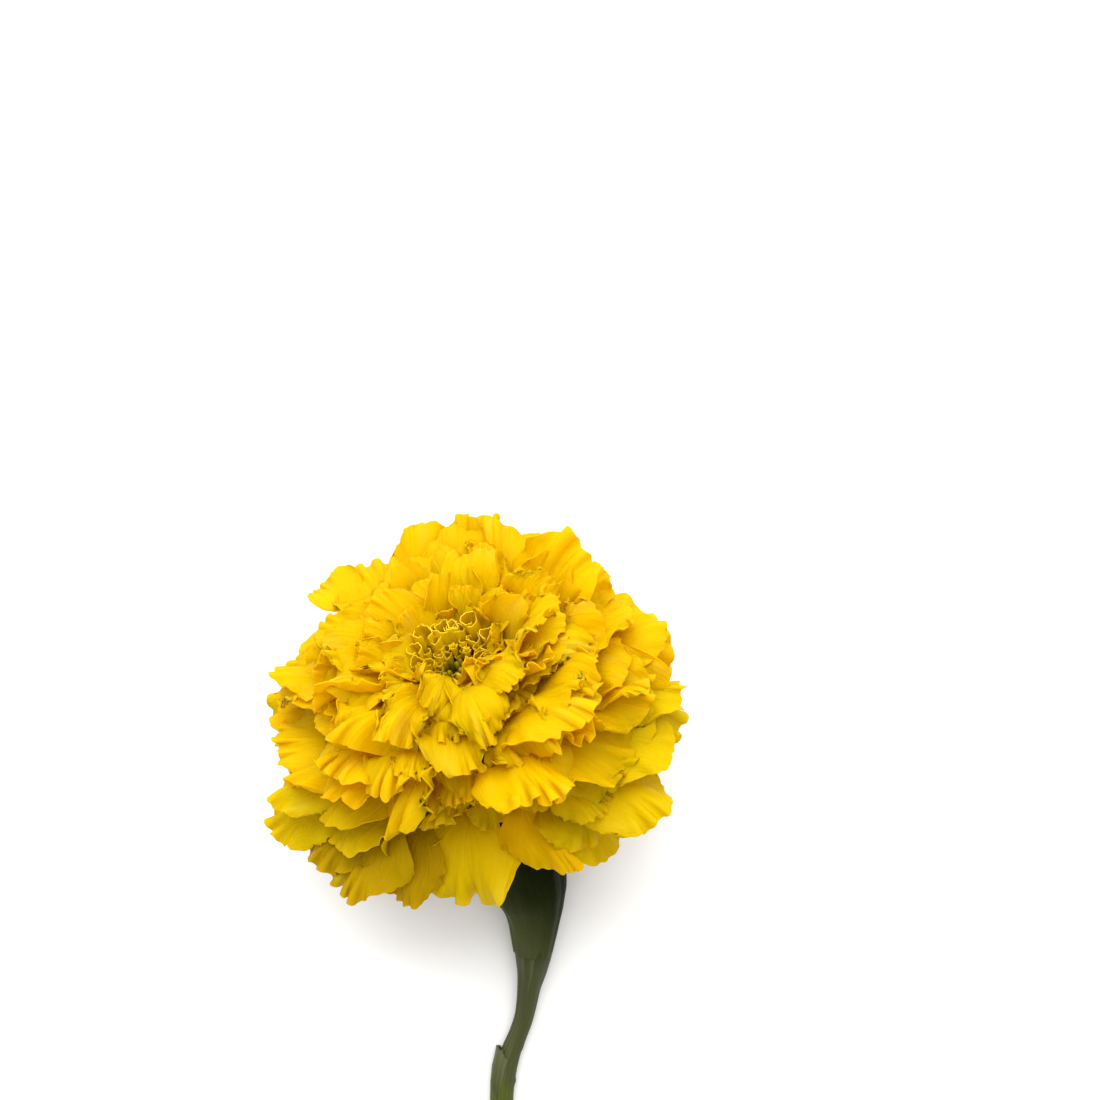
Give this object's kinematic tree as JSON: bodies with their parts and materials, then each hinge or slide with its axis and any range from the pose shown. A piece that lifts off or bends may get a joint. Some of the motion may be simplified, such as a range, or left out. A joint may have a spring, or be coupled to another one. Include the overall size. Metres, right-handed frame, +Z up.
{
  "type": "marigold flower",
  "caption": "Cut double marigold lying on its side: a dome of crowded ruffled petals round a small disc, on a ribbed cup and a bare stem.",
  "frame": {"origin": "centre of the bounding box at the bottom, on the plane that the flower lies on", "axes": "+Z up, +Y along the flower from the cut end of the stem to the bloom, +X to the right seen from above with the bloom at the top"},
  "size_m": [0.0847, 0.1736, 0.0715],
  "materials": {
    "petals": "matte, thin and translucent, with fine radial veins",
    "disc_florets": "matte, greenish yellow",
    "involucre": "satin, dark green, finely ribbed",
    "stem": "satin, grey green, finely ridged"
  },
  "bodies": {
    "root": {"petals": "petals", "disc_florets": "disc_florets", "involucre": "involucre", "stem": "stem"}
  },
  "joints": []
}
